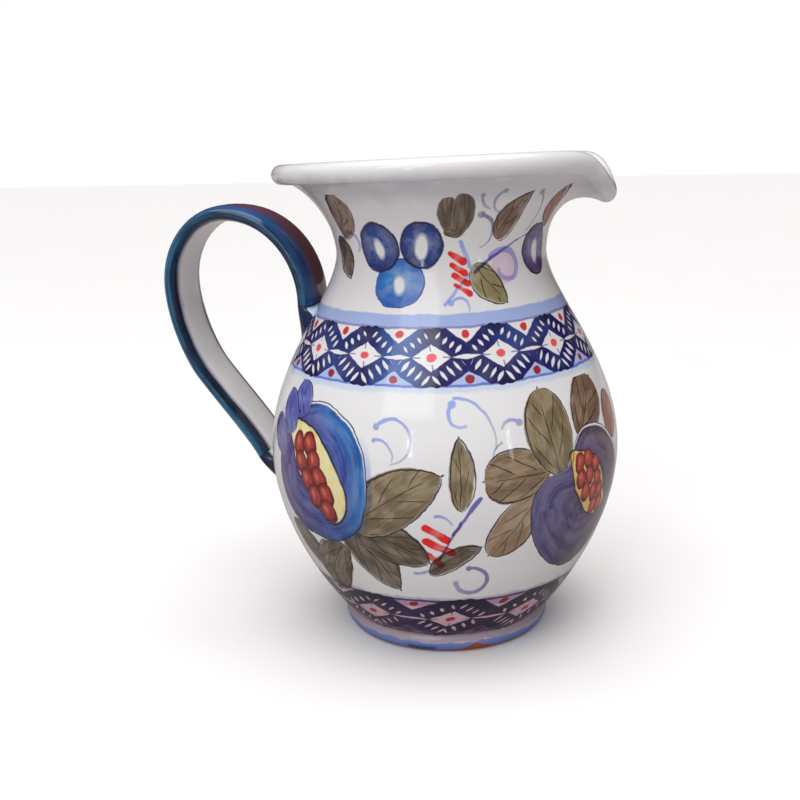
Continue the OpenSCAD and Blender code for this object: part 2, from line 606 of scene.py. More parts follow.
def motif(name, labels):
    """Makes a node group of a function of wires. labels names the function's arguments in order."""

    def wrap(build):
        sockets = labels.split()
        tree = bpy.data.node_groups.new(name, "ShaderNodeTree")
        for label in sockets:
            tree.interface.new_socket(label, in_out="INPUT", socket_type=socket_kind(label))
        tree.interface.new_socket("canvas", in_out="OUTPUT", socket_type="NodeSocketColor")
        start = tree.nodes.new("NodeGroupInput")
        result = build(**{label: Wire(tree, start.outputs[label]) for label in sockets})
        end = tree.nodes.new("NodeGroupOutput")
        plug(end.inputs["canvas"], result)
        return tree

    return wrap


# ---------------------------------------------------------------- pigments

# the white glaze: the display value it shows as, and the reflectance it has
GLAZE_SHOWN = 0.83
GLAZE_WHITE = 0.8
WHITE = (GLAZE_WHITE, GLAZE_WHITE, GLAZE_WHITE, 1.0)
GLAZE_COOL = (GLAZE_WHITE, GLAZE_WHITE, GLAZE_WHITE * 1.005, 1.0)
GLAZE_DULL = (GLAZE_WHITE * 0.955, GLAZE_WHITE * 0.955, GLAZE_WHITE * 0.985, 1.0)


def linear(v):
    """A display value as light."""
    return v / 12.92 if v <= 0.04045 else ((v + 0.055) / 1.055) ** 2.4


def pigment(r, g, b):
    """A wash that shows as this display colour where it lies on white glaze."""
    white = linear(GLAZE_SHOWN)
    return (*(min(1.0, linear(v) / white) for v in (r, g, b)), 1.0)


def opaque(r, g, b):
    """Paint that hides what is beneath, and shows as this display colour."""
    return (*(GLAZE_WHITE * share for share in pigment(r, g, b)[:3]), 1.0)


def wiped(canvas, share):
    """The canvas, bare to the white glaze where share is 1."""
    return mix_colours(canvas, WHITE, share)


def plain(r, g, b):
    """A display colour of its own, not a wash."""
    return (linear(r), linear(g), linear(b), 1.0)


OLIVE = pigment(0.48, 0.42, 0.29)
OLIVE_DARK = pigment(0.36, 0.3, 0.2)
BROWN = pigment(0.48, 0.37, 0.28)
RUST = pigment(0.55, 0.3, 0.17)
TULIP = pigment(0.38, 0.31, 0.23)
INK = pigment(0.1, 0.08, 0.25)
NAVY = pigment(0.06, 0.04, 0.33)
PERIWINKLE = pigment(0.55, 0.62, 0.84)
LAVENDER = pigment(0.58, 0.58, 0.78)
GREY = pigment(0.6, 0.6, 0.65)
VIOLET = pigment(0.4, 0.36, 0.62)
SPIRAL = pigment(0.5, 0.44, 0.62)
RED = pigment(0.82, 0.1, 0.1)
SEED_RED = opaque(0.6, 0.2, 0.18)
SEED_DARK = opaque(0.34, 0.05, 0.08)
SEED_GLINT = opaque(0.8, 0.48, 0.44)
SEED_BRIGHT = opaque(0.68, 0.25, 0.18)
BERRY = pigment(0.1, 0.24, 0.54)
BERRY_DARK = pigment(0.12, 0.28, 0.5)
BERRY_LIGHT = pigment(0.12, 0.44, 0.71)
PETAL = pigment(0.36, 0.4, 0.68)


# ---------------------------------------------------------------- motifs


@motif("leaf", "canvas place flow base axis side size width bend point seed veins inked wash ink")
def LEAF(canvas, place, flow, base, axis, side, size, width, bend, point, seed, veins, inked, wash, ink):
    """A brushed leaf from its base to its tip, with an inked outline that strays from the wash."""
    s, t = measured(place, base, axis, side)
    t = t - bend * s * (1 - s) * 4
    reach_s = clamped(s)
    half = width * calc("POWER", reach_s, 0.55) * calc("POWER", 1 - reach_s, point)
    streak = grain(s * size * 0.13, t * 0.8, seed, 2.0, 0.55)
    pool = grain(s * size * 0.1, t * 0.16, seed + 7.0, 1.0)
    depth = half - size_of(t) - size_of(s - reach_s) * size
    body = edge(depth + (flow - 0.5) * 1.2, 0.5)
    # a leaf mostly hides what it crosses
    canvas = wiped(canvas, body * 0.85)
    canvas = dye(canvas, body * clamped(0.7 + streak * 0.44), wash)
    darker = edge(pool - 0.5, 0.14) * edge(depth - 0.3, 1.2)
    canvas = dye(canvas, darker * 0.5, wash)
    # the pen's outline lies a little to one side of the wash, and thickens toward the tip
    strayed = t + 0.55
    pen = 0.2 + reach_s * 0.2 + (streak - 0.5) * 0.5
    outline = line(half * 0.98 - size_of(strayed), pen) * between(s, -0.01, 1.03, 0.02)
    rib = line(t - 0.3, 0.1 + streak * 0.16) * between(s, 0.04, 0.84, 0.05)
    # side veins run long and close to the rib's own way, some shorter than others
    lean = size_of(t) / width
    turn = (s - lean * 0.95 - lean * lean * 0.5) * veins + edge(t) * 0.5
    luck = hash_of(calc("FLOOR", turn) * 12.9 + seed * 3.1)
    gap = size_of(calc("FRACT", turn) - 0.5) / veins * size
    stroke = edge(0.4 - gap, 0.36) * between(lean, 0.06, 0.26 + luck * 0.22, 0.04)
    stroke = stroke * between(s, 0.12, 0.9, 0.05) * edge(depth - 0.5)
    marks = most(outline * 0.95, most(rib, stroke) * 0.95)
    return dye(canvas, marks * inked, ink)


@motif("drop", "canvas place flow centre across along size wash rim ink pen shine seed")
def DROP(canvas, place, flow, centre, across, along, size, wash, rim, ink, pen, shine, seed):
    """A round or oval touch of the brush. A berry has a dark rim, an outline and a bare highlight."""
    x, y = measured(place, centre, across, along)
    r = length(x, y)
    depth = (1 - r) * size
    patch = grain(x * 1.1, y * 1.1, seed, 3.0, 0.6, 1.4)
    bare = edge(shine * 0.5 - length(x * 1.7, y + 0.1) + (patch - 0.5) * 0.3, 0.22)
    bare = bare * edge(shine - 0.3, 0.1)
    whole = edge(depth + (flow - 0.5) * 0.7, 0.4)
    canvas = wiped(canvas, whole * 0.85)
    body = whole * (1 - bare)
    canvas = dye(canvas, body * clamped(0.3 + patch * 1.2), wash)
    ring = edge(r - 0.7 - (patch - 0.5) * 0.7, 0.4) * 0.6
    low = edge(0.0 - y - 0.3 - (patch - 0.5) * 0.8, 0.7) * 0.65
    canvas = dye(canvas, body * most(ring, low), rim)
    outline = line(depth + (patch - 0.5) * 1.4, pen) * edge(pen - 0.01, 0.02)
    return dye(canvas, outline * 0.92, ink)


@motif("seed", "canvas place flow centre across along size wash rim seed")
def SEED(canvas, place, flow, centre, across, along, size, wash, rim, seed):
    """An opaque seed that hides what it overlaps, darker to its edge and foot."""
    x, y = measured(place, centre, across, along)
    r = length(x, y)
    patch = grain(x * 1.5, y * 0.7, seed, 2.0, scale=1.6)
    body = edge((1 - r) * size + (flow - 0.5) * 0.6, 0.35)
    dark = clamped(edge(r - 0.74 + (patch - 0.5) * 0.5, 0.34) + clamped(0.1 - y * 0.5 + (patch - 0.5) * 1.2))
    tone = mix_colours(wash, rim, dark)
    glint = edge(0.3 - length(x * 1.5 + 0.2, y - 0.25), 0.3) * 0.5
    return mix_colours(canvas, mix_colours(tone, SEED_GLINT, glint), body)


@motif(
    "curl",
    "canvas place flow centre scale radius radius_end start way span "
    "width width_end knob head wash wash_end",
)
def CURL(
    canvas, place, flow, centre, scale, radius, radius_end, start, way, span,
    width, width_end, knob, head, wash, wash_end,
):
    """A thin tendril along a spiral, from its knob to a fading tail."""
    u, v = offset(place, centre, scale)
    angle = calc("ARCTAN2", v, u) * (1 / math.tau)
    travelled = calc("FRACT", (angle - start) * way + 2.0) / span
    ring = blend(radius, radius_end, travelled)
    pen = blend(width, width_end, travelled) * (0.7 + flow * 0.6)
    tendril = edge(pen - size_of(length(u, v) - ring), 0.35) * edge(1 - travelled, 0.04)
    blob = edge(knob - length(*offset(place, head, scale)), 0.5)
    fade = clamped(1.15 - travelled * 0.45)
    shown = most(tendril * fade, blob)
    return dye(canvas, shown, mix_colours(wash, wash_end, clamped(travelled * 1.2 - 0.2)))


@motif("stroke", "canvas place flow base axis side size width width_end bend seed wash")
def STROKE(canvas, place, flow, base, axis, side, size, width, width_end, bend, seed, wash):
    """One pull of a loaded brush, wetter at its ends."""
    s, t = measured(place, base, axis, side)
    t = t - bend * s * (1 - s) * 4
    held = clamped(s)
    far = length((s - held) * size, t)
    wet = grain(s * size * 0.22, t * 0.7, seed, 2.0)
    shown = edge(blend(width, width_end, held) - far + (flow - 0.5) * 0.8, 0.4)
    ends = size_of(held - 0.5) * 0.5
    return dye(canvas, shown * clamped(0.55 + wet * 0.55 + ends), wash)


# ---------------------------------------------------------------- painting a material

TRACE = 1e-7


def mm_per_degree(z):
    """How wide a degree is on the glazed body, at a height below the rim."""
    return float(body_radius(z)) * math.pi / 180


class Painter:
    """Lays motifs one over another. place is (angle in degrees, height in mm), unevenly drawn."""

    def __init__(self, canvas, place, flow):
        self.canvas = canvas
        self.place = place
        self.flow = flow
        # how many motifs are laid: each one's noise differs by it
        self.count = 0

    def lay(self, group, **values):
        # place waits for a trace of the canvas, so that the renderer works out one motif at a time
        place = vector_calc("MULTIPLY_ADD", self.canvas, (TRACE, TRACE, TRACE), self.place)
        values.update(canvas=self.canvas, place=place, flow=self.flow)
        if "seed" in group.interface.items_tree:
            values["seed"] = self.count * 1.7
        self.count += 1
        self.canvas = add(self.canvas.tree, "Group", values, node_tree=group)

    def axes(self, base, tip):
        """The sockets that turn (angle, height) into shares of the way from base to tip."""
        k = mm_per_degree((base[1] + tip[1]) / 2)
        du, dv = (tip[0] - base[0]) * k, tip[1] - base[1]
        size = math.hypot(du, dv)
        return {
            "base": (*base, 0),
            "axis": (du * k / size**2, dv / size**2, 0),
            "side": (-dv * k / size, du / size, 0),
            "size": size,
        }

    def oval(self, centre, a, b, turn):
        """The sockets that turn (angle, height) into shares of an oval's half widths a and b, in mm."""
        k = mm_per_degree(centre[1])
        c, s = math.cos(math.radians(turn)), math.sin(math.radians(turn))
        return {
            "centre": (*centre, 0),
            "across": (c * k / a, s / a, 0),
            "along": (-s * k / b, c / b, 0),
            "size": (a + b) / 2,
        }

    def leaf(self, base, tip, width, bend=0.0, blunt=0.0, wash=OLIVE, ink=INK, veins=3.0, inked=1.0):
        """width is half the leaf's width in mm. blunt runs from 0, a pointed tip, to 1."""
        point = 0.85 - 0.55 * blunt
        peak = 0.55 / (0.55 + point)
        widest = peak**0.55 * (1 - peak) ** point
        self.lay(
            LEAF, **self.axes(base, tip), width=width / widest, bend=bend, point=point,
            veins=veins, inked=inked, wash=wash, ink=ink,
        )

    def drop(self, centre, a, b, turn=0.0, wash=BERRY, rim=BERRY_DARK, ink=NAVY, pen=0.0, shine=0.0):
        """a and b are half widths in mm. turn is in degrees, counter-clockwise."""
        oval = self.oval(centre, a, b, turn)
        self.lay(DROP, **oval, wash=wash, rim=rim, ink=ink, pen=pen, shine=shine)

    def seed(self, centre, a, b, turn, wash, rim):
        """a and b are half widths in mm. turn is in degrees, counter-clockwise."""
        self.lay(SEED, **self.oval(centre, a, b, turn), wash=wash, rim=rim)

    def curl(self, centre, radii, start, sweep, widths=(0.7, 0.3), knob=1.3, wash=PERIWINKLE, tail=GREY):
        """radii run from the knob to the tail. start and sweep are in degrees, counter-clockwise."""
        k = mm_per_degree(centre[1])
        a = math.radians(start)
        head = (centre[0] + radii[0] * math.cos(a) / k, centre[1] + radii[0] * math.sin(a), 0)
        self.lay(
            CURL, centre=(*centre, 0), scale=k, radius=radii[0], radius_end=radii[1], start=start / 360,
            way=math.copysign(1.0, sweep), span=abs(sweep) / 360, width=widths[0], width_end=widths[1],
            knob=knob, head=head, wash=wash, wash_end=tail,
        )

    def stroke(self, base, tip, width, width_end=None, bend=0.0, wash=RED):
        width_end = width if width_end is None else width_end
        self.lay(STROKE, **self.axes(base, tip), width=width, width_end=width_end, bend=bend, wash=wash)

    def ring(self, low, high, wash, strength=1.0, soft=0.5, wobble=0.0):
        """A painted ring or stripe round the vessel between two heights."""
        z = parts_of(self.place)[1]
        if wobble:
            z = z + (self.flow - 0.5) * wobble
        self.canvas = dye(self.canvas, between(z, low, high, soft) * strength, wash)


# ---------------------------------------------------------------- the fruits


def polar(u, v, outline, centre):
    """How far (u, v) mm from the centre lies inside an outline of (angle, height) points, and its turn."""
    k = mm_per_degree(centre[1])
    far = 60.0
    points = []
    for phi, z in outline:
        x, y = (phi - centre[0]) * k, z - centre[1]
        points.append((math.atan2(y, x) / math.tau + 0.5, math.hypot(x, y) / far))
    points.sort()
    (x0, y0), (x1, y1) = points[0], points[-1]
    wrapped = mix(y0, y1, x0 / (x0 + 1 - x1))
    points = [(0.0, wrapped), *points, (1.0, wrapped)]
    turn = calc("ARCTAN2", v, u) * (1 / math.tau) + 0.5
    limit = float_curve(turn, points) * far
    return limit - length(u, v), turn


def make_fruit(name, centre, outline, hole, hole_centre, colours, flesh):
    """A cut pomegranate's body as a motif: washes that follow its outline, and the pale cut opening."""
    near, middle, far_side, streak_dye = colours

    @motif(name, "canvas place flow")
    def build(canvas, place, flow):
        u, v = offset(place, (*centre, 0), mm_per_degree(centre[1]))
        inside, turn = polar(u, v, outline, centre)
        h = parts_of(vector_calc("SUBTRACT", place, (*hole_centre, 0)))
        opened = polar(h[0] * mm_per_degree(hole_centre[1]), h[1], hole, hole_centre)[0]
        aside = u * (1 / 28)
        streak = grain(turn * 6.0, inside * 0.26, 3.0, 3.0, 0.6)
        soak = grain(u * 0.09, v * 0.05, 8.0, 2.0)
        # the fruit lies over the leaves: their bases stop at its edge
        canvas = wiped(canvas, edge(inside - 0.1))
        # wash that ran past the outline, on the lower right
        past = edge(inside + 2.4 + (streak - 0.5) * 3.0, 1.2) * edge(0.3 - inside)
        past = past * clamped(aside * 3.0 - 1.2) * clamped(1.2 - v * 0.06)
        canvas = dye(canvas, past * 0.7, PERIWINKLE)
        # a light edge is left bare between the outline and the wash, on the upper side
        bare = clamped((u * 0.5 + v) * 0.03) * 1.1
        skin = edge(inside - bare - 0.2, 0.6) * edge(0.2 - opened, 0.4)
        tone = mix_colours(near, middle, clamped(aside * 0.9 + 0.62 + (soak - 0.5) * 0.8))
        rim_share = clamped(1.45 - inside * 0.13) * clamped(aside * 2.2 + 0.1 + v * 0.012)
        tone = mix_colours(tone, far_side, clamped(rim_share + (soak - 0.5) * 0.5))
        canvas = dye(canvas, skin * clamped(0.74 + streak * 0.4), tone)
        dark = edge(streak - 0.57, 0.18) * 0.3 + edge(soak - 0.55, 0.16) * 0.35 + clamped(v * -0.03 - 0.35)
        hug = clamped(1.0 + opened * 0.22) * 0.3
        canvas = dye(canvas, skin * clamped(dark + hug), streak_dye)
        outer = line(inside - 0.2, 0.14 + flow * 0.26)
        canvas = dye(canvas, outer * 0.95, NAVY)
        blotch = grain(h[0] * 0.3, h[1] * 0.2, 2.0, 2.0)
        pulp = edge(opened)
        canvas = dye(canvas, pulp, flesh[0])
        yolk = edge(blotch - 0.52, 0.24)
        canvas = dye(canvas, pulp * yolk * 0.5, flesh[1])
        canvas = dye(canvas, pulp * edge(1.1 - opened + (blotch - 0.5) * 3.0, 1.4) * 0.35, GREY)
        cut = line(opened, 0.32 + flow * 0.25)
        return dye(canvas, cut * 0.95, INK)

    return build


FRUIT_A = make_fruit(
    "fruit_a",
    (-123, 86),
    [
        (-127.5, 114), (-121.5, 115.5), (-114, 113), (-107, 107), (-103, 98), (-101.7, 87), (-102.6, 75),
        (-106.3, 64.7), (-114, 58), (-124, 57), (-135.5, 61.5), (-141, 71), (-142, 85.5), (-139, 101),
        (-134, 110),
    ],
    [
        (-135, 104), (-129, 106), (-125, 105), (-116.5, 97.5), (-112, 89), (-109, 78), (-110, 71),
        (-115, 65.5), (-119.5, 70), (-123.7, 78), (-129.5, 86), (-132.5, 95),
    ],
    (-120.5, 86),
    (pigment(0.25, 0.16, 0.46), pigment(0.2, 0.3, 0.6), pigment(0.09, 0.39, 0.65),
     pigment(0.24, 0.26, 0.52)),
    (pigment(0.84, 0.81, 0.64), pigment(0.86, 0.76, 0.42)),
)
FRUIT_B = make_fruit(
    "fruit_b",
    (-31, 72),
    [
        (-52, 67), (-51.5, 79), (-48, 85), (-42, 87.5), (-37.5, 90), (-35, 98), (-30, 102.8), (-20.5, 101.5),
        (-12, 93), (-7, 80), (-7, 66), (-11, 53), (-19, 44), (-30, 40.5), (-37, 43), (-46.4, 52),
    ],
    [
        (-37.4, 90), (-37.7, 93.5), (-32.6, 93.5), (-26.3, 90), (-22, 84), (-19, 74), (-17, 65),
        (-21.7, 62.5), (-27, 64.5), (-33, 72.7), (-36.2, 81),
    ],
    (-28, 78),
    (pigment(0.29, 0.26, 0.45), pigment(0.28, 0.21, 0.37), pigment(0.3, 0.18, 0.27),
     pigment(0.31, 0.27, 0.5)),
    (pigment(0.86, 0.72, 0.42), pigment(0.84, 0.6, 0.26)),
)
SEEDS_A = [
    (-129.3, 96.5), (-123.8, 97.5), (-127.6, 89.5), (-121.8, 91), (-124.5, 82.5), (-119.2, 84.5),
    (-121.6, 76), (-116.6, 78), (-116.5, 71),
]
SEEDS_B = [
    (-33.6, 88.5), (-29.4, 89.4), (-25.3, 86), (-33, 81.7), (-28.6, 82), (-24, 79.4), (-30.4, 75.3),
    (-26, 73.8), (-21.6, 73), (-24.6, 66.8), (-20.6, 66.8),
]


# ---------------------------------------------------------------- the woven bands


def make_band(name, count, shift, low, high, tones, diamond, lean):
    """A band of two ribbons that cross between diamonds. tones: ribbon, lighter ribbon, lower cells, dots.

    diamond holds its half sizes as shares of the unit's, and lean is in degrees for each mm of height.
    """
    ribbon_dark, ribbon_light, cell, red_middle, red_edge = tones
    middle = (low + high) / 2
    rise = body_radius(np.array([low, high]))
    stretch = math.hypot(rise[1] - rise[0], high - low) / (high - low)
    half_unit = math.pi * float(body_radius(middle)) / count
    top = (high - low) / 2 * stretch
    wide, tall = diamond[0] * half_unit, diamond[1] * top
    slant = math.hypot(wide, tall)
    ux, uy = tall / slant, wide / slant
    corner = ux * wide

    @motif(name, "canvas place flow patch")
    def build(canvas, place, flow, patch):
        phi, z, _ = parts_of(place)
        leaned = phi - shift - (z - middle) * lean
        cell_x = calc("FRACT", leaned * (count / 360) + 8.5) - 0.5
        across = cell_x * (2 * half_unit)
        x = size_of(across)
        v = (z - middle) * stretch
        y = size_of(v)
        up = edge(v, 0.2)
        cross = x * ux + y * uy
        along = y * ux - x * uy
        # the cells above and below each crossing
        reach_out = half_unit - x
        apex = blend(0.5 * top, 0.46 * top, up)
        triangle = (y - apex - reach_out * ((top - apex) / (0.56 * half_unit))) * 0.72
        ribbon = least(cross - corner, 0.0 - triangle)
        ribbon = least(ribbon, top + 0.1 - y)
        knob_x, knob_y = x - 0.13 * half_unit, (y - 0.9 * top) * 1.15
        knob = 0.13 * half_unit + 0.3 - length(knob_x, knob_y) + (flow - 0.5) * 1.8
        ribbon = most(ribbon, knob)
        # bare dashes across the arms, and one along each crossing
        pace = 0.235 * half_unit
        part_way = calc("FRACT", along * (1 / pace) + 0.35 + up * 0.22) - 0.5
        arm_half = blend(2.6, 1.8, up)
        lens = 0.66 * (1 - calc("POWER", (cross - corner - 4.2) / arm_half, 2.0))
        dash = lens - size_of(part_way * pace)
        dash = least(dash, least(along + 0.62 * half_unit, blend(0.42, 0.3, up) * half_unit - along))
        far_x = (half_unit - x) / (half_unit - wide - 0.4)
        long_dash = (0.8 + (flow - 0.5)) * (1 - far_x * far_x) - y
        bare = most(edge(dash + (flow - 0.5) * 0.7, 0.35), edge(long_dash, 0.3))
        painted = edge(ribbon, 0.3) * (1 - bare * 0.97)
        cells = edge(triangle, 0.3) * edge(top - y, 0.4)
        canvas = dye(canvas, cells * (1 - up) * (0.7 + flow * 0.5), cell)
        # the ribbons turn lighter where patch is high: in places at random, and as a painted reflection in
        # the stretch that patch lifts on each side
        shade = mix_colours(ribbon_dark, ribbon_light, patch)
        canvas = dye(canvas, painted * clamped(0.93 + flow * 0.12), shade)
        canvas = dye(canvas, painted * edge(knob + 0.6, 1.6) * 0.5, ribbon_dark)
        # pen ticks from the diamond's corners inward
        tick = least(0.3 - y, least(x - wide + 3.4, wide + 0.3 - x))
        upright = least(0.3 - size_of(across + v * 0.15), least(y - tall + 2.8, tall + 0.3 - y))
        canvas = dye(canvas, edge(most(tick, upright), 0.3) * 0.85, VIOLET)
        # berries in the cells
        dot = 1.65 - length(x * 0.85, y) + (flow - 0.5) * 1.2
        canvas = dye(canvas, edge(dot, 0.4) * 0.95, red_middle)
        dot_edge = 1.75 - length(half_unit - x, y - 0.78 * top) + (flow - 0.5) * 1.0
        return dye(canvas, edge(dot_edge, 0.4), red_edge)

    return build


UPPER_LOW, UPPER_HIGH = 124.0, 145.0
LOWER_LOW, LOWER_HIGH = 9.0, 32.0
UPPER_BAND = make_band(
    "upper_band", 14, -82.5, UPPER_LOW, UPPER_HIGH,
    (NAVY, pigment(0.18, 0.34, 0.6), pigment(0.6, 0.68, 0.88), pigment(0.85, 0.24, 0.28),
     pigment(0.76, 0.16, 0.2)),
    (0.56, 0.47), 0.0,
)
LOWER_BAND = make_band(
    "lower_band", 10, -77.0, LOWER_LOW, LOWER_HIGH,
    (pigment(0.11, 0.04, 0.22), pigment(0.1, 0.07, 0.34), pigment(0.28, 0.22, 0.38), pigment(0.66, 0.1, 0.1),
     pigment(0.64, 0.09, 0.1)),
    (0.5, 0.42), 0.42,
)


# ---------------------------------------------------------------- where the motifs lie


def paint_neck(p):
    """Berries, leaves and tendrils round the neck and the flare."""
    p.leaf((-136, 179), (-126, 197), 6.8, blunt=0.6, wash=BROWN, veins=2.0)
    p.leaf((-144, 179), (-130, 163), 5.5, wash=OLIVE_DARK, veins=2.0)
    p.curl((-130, 176), (6.0, 4.5), 155, -190, (1.1, 0.6), knob=1.0, wash=LAVENDER, tail=LAVENDER)
    # painted shade: a grey ring under the rim, where the flare's overhang shades the neck
    p.ring(195.0, 203.0, pigment(0.6, 0.6, 0.62), 0.34, 5.0, 7.0)
    p.drop((-99, 162), 10.6, 9.4, 8, BERRY_LIGHT, BERRY_LIGHT, pigment(0.15, 0.36, 0.6), 0.26, 0.75)
    p.drop((-111, 176), 9.0, 9.8, 18, BERRY, BERRY_DARK, NAVY, 0.45, 0.8)
    p.drop((-88, 177), 8.4, 9.3, -8, BERRY, BERRY_DARK, NAVY, 0.45, 1.1)
    p.leaf((-72, 179.5), (-76, 196), 3.8, bend=1.0, blunt=0.95, wash=TULIP, inked=0.0)
    p.leaf((-71.5, 179.5), (-69, 197), 4.4, bend=-1.6, blunt=0.9, wash=TULIP, inked=0.0)
    p.drop((-74, 182), 2.8, 1.8, -20, OLIVE_DARK, BROWN)
    p.leaf((-51, 178.5), (-39, 197), 5.4, bend=0.8, wash=BROWN, veins=2.0)
    p.leaf((-14, 182), (-19, 199), 4.6, bend=1.4, wash=RUST, veins=2.0)
    p.drop((-22, 173), 8.6, 10.5, 6, pigment(0.34, 0.28, 0.5), pigment(0.4, 0.3, 0.5), INK, 0.34, 0.9)
    p.drop((-46, 167), 5.5, 6.5, 0, pigment(0.8, 0.74, 0.8), pigment(0.82, 0.76, 0.8))
    p.curl((-45, 167), (8.0, 3.4), 150, -330, (1.4, 0.8), knob=0.8, wash=LAVENDER, tail=LAVENDER)
    # this leaf's own olive is lightened here as a painted highlight, where a window would mirror on it
    p.leaf((-62, 169), (-48, 154), 6.0, bend=-0.8, blunt=0.3, wash=pigment(0.56, 0.52, 0.36), veins=2.0)
    p.stroke((-77, 154), (-64, 166), 0.7, 0.5, wash=PERIWINKLE)
    p.curl((-70, 152), (4.6, 3.2), 150, -170, (0.6, 0.4), knob=1.2, wash=PERIWINKLE, tail=PERIWINKLE)
    p.stroke((-69, 178), (-64, 168), 0.8, 0.9, wash=PERIWINKLE)
    p.stroke((-62, 166), (-27, 181), 0.7, 0.3, bend=1.2, wash=VIOLET)
    p.curl((-61.5, 181.5), (7.2, 6.4), 82, -155, (0.85, 0.4), knob=1.5, wash=pigment(0.5, 0.48, 0.62))
    p.curl((-56.5, 197), (5.2, 6.0), 190, 80, (0.7, 0.4), knob=1.0, wash=GREY)
    p.curl((-51, 193.5), (4.6, 4.0), 110, 150, (0.6, 0.4), knob=1.0, wash=GREY)
    p.curl((-37, 190), (7.4, 9.5), 62, -130, (0.55, 0.35), knob=1.1, wash=GREY)
    for height, start, size in ((173.5, -74, 1.5), (169, -73.5, 1.4), (165, -72.5, 1.5), (161, -72, 1.2)):
        p.stroke((start, height), (start + 6.5, height - 3.4), size * 0.7, size, wash=RED)


def paint_belly(p):
    """Two cut pomegranates with their leaves, and the sprays between them."""
    # tendrils first, so that the leaves lie over their tails
    p.curl((-95, 104), (7.6, 9.5), 140, -225, (0.8, 0.35), knob=1.4)
    p.curl((-99, 98), (5.6, 7.0), 100, -120, (0.75, 0.3), knob=1.0)
    p.curl((-73, 114), (5.2, 5.0), 135, 160, (0.75, 0.5), knob=1.6, tail=PERIWINKLE)
    p.curl((-77, 106), (14.0, 19.0), 82, -100, (0.65, 0.3), knob=0.5)
    p.curl((-58, 106), (5.0, 4.0), 40, 120, (0.9, 0.4), knob=1.4, wash=LAVENDER)
    p.curl((-59, 97), (6.0, 8.0), 120, 110, (0.4, 0.25), knob=0.4, wash=GREY)
    p.curl((-81, 69), (5.0, 6.0), 95, -85, (0.7, 0.4), knob=0.6, wash=LAVENDER, tail=LAVENDER)
    p.curl((-70, 42.8), (6.8, 6.2), 100, -285, (0.8, 1.2), knob=1.3, wash=SPIRAL, tail=SPIRAL)
    p.curl((-90, 60), (13.0, 15.0), -85, 60, (0.8, 0.5), knob=0.3, wash=LAVENDER, tail=LAVENDER)
    # the spray between the fruits
    p.leaf((-74, 76), (-74.5, 105), 5.0, bend=-0.8, blunt=0.35, wash=OLIVE, veins=2.0)
    p.leaf((-84, 47), (-68, 60), 4.4, bend=1.0, blunt=0.4, wash=OLIVE_DARK, veins=2.0)
    for height, end, size in ((69, -78, 1.8), (63, -76.5, 1.8), (57, -79.8, 1.4)):
        p.stroke((-84.4, height), (end, height - 5.5), size * 0.85, size, wash=RED)
    p.stroke((-80.5, 54), (-68.4, 81), 0.5, 0.9, bend=0.8, wash=VIOLET)
    p.stroke((-76, 66), (-74, 71), 0.8, 0.5, wash=VIOLET)
    # the first fruit's leaves, the fruit and its crown
    p.leaf((-139, 60), (-127, 41), 7.2, bend=1.0, blunt=0.6, wash=OLIVE_DARK, ink=VIOLET)
    p.leaf((-113, 57), (-127, 31), 9.6, bend=-1.5, blunt=0.8, wash=OLIVE_DARK)
    p.leaf((-111, 66), (-95, 38), 9.0, bend=1.4, blunt=0.3, wash=OLIVE_DARK)
    p.leaf((-108, 67), (-83.5, 53), 9.0, bend=1.2, blunt=0.35, wash=OLIVE_DARK)
    p.leaf((-108, 66), (-79.8, 91), 11.6, bend=1.6, blunt=0.3, wash=OLIVE)
    p.lay(FRUIT_A)
    for i, place in enumerate(SEEDS_A):
        p.seed(place, 4.1, 5.6, 10 + 12 * (i % 3), SEED_RED, SEED_DARK)
    p.leaf((-129, 108), (-135.6, 121), 6.4, blunt=0.5, wash=PETAL, ink=NAVY, veins=1.0)
    p.leaf((-134, 100), (-142.6, 116), 6.2, blunt=0.5, wash=PETAL, ink=NAVY, veins=1.0)
    p.leaf((-138, 90), (-149, 104), 6.0, blunt=0.5, wash=pigment(0.38, 0.36, 0.62), ink=NAVY, veins=1.0)
    # the second fruit and its leaves
    p.leaf((-50, 80), (-64.5, 55), 8.8, bend=0.8, blunt=0.6, wash=pigment(0.57, 0.48, 0.37))
    p.leaf((-12, 92), (-9, 113), 8.0, blunt=0.6, wash=RUST, veins=2.0)
    p.leaf((-32, 98), (-18.5, 120.6), 10.5, bend=1.5, blunt=0.75, wash=BROWN)
    p.leaf((-46, 89), (-67, 87), 10.8, bend=-0.5, blunt=0.8, wash=pigment(0.5, 0.41, 0.28))
    p.leaf((-42, 86), (-46.5, 120.2), 11.2, bend=0.5, blunt=0.75, wash=OLIVE)
    p.lay(FRUIT_B)
    for i, place in enumerate(SEEDS_B):
        p.seed(place, 3.1, 4.6, 9 * (i % 3) - 4, SEED_BRIGHT, SEED_DARK)


def paint_upper_band(p, patch):
    """The woven band over the belly, with its stripes."""
    p.ring(UPPER_HIGH + 0.5, UPPER_HIGH + 5.2, pigment(0.53, 0.62, 0.82), 0.85, 0.6, 0.5)
    p.ring(UPPER_LOW - 2.6, UPPER_LOW, pigment(0.68, 0.75, 0.92), 0.7, 1.3, 2.0)
    p.lay(UPPER_BAND, patch=patch)
    p.ring(UPPER_HIGH - 0.2, UPPER_HIGH + 0.7, VIOLET, 0.8, 0.4, 0.5)
    p.ring(UPPER_LOW - 0.5, UPPER_LOW + 0.5, pigment(0.34, 0.4, 0.72), 0.85, 0.4, 0.6)


def paint_lower_band(p, patch):
    """The woven band above the foot, with its stripes."""
    p.ring(LOWER_LOW - 0.5, LOWER_HIGH, pigment(0.78, 0.63, 0.68), 0.88, 0.6)
    p.lay(LOWER_BAND, patch=patch)
    p.ring(LOWER_HIGH - 0.9, LOWER_HIGH + 0.4, pigment(0.26, 0.2, 0.42), 0.9, 0.5, 0.8)
    p.ring(LOWER_HIGH - 4.0, LOWER_HIGH + 1.6, pigment(0.58, 0.52, 0.68), 0.6, 1.2, 2.5)


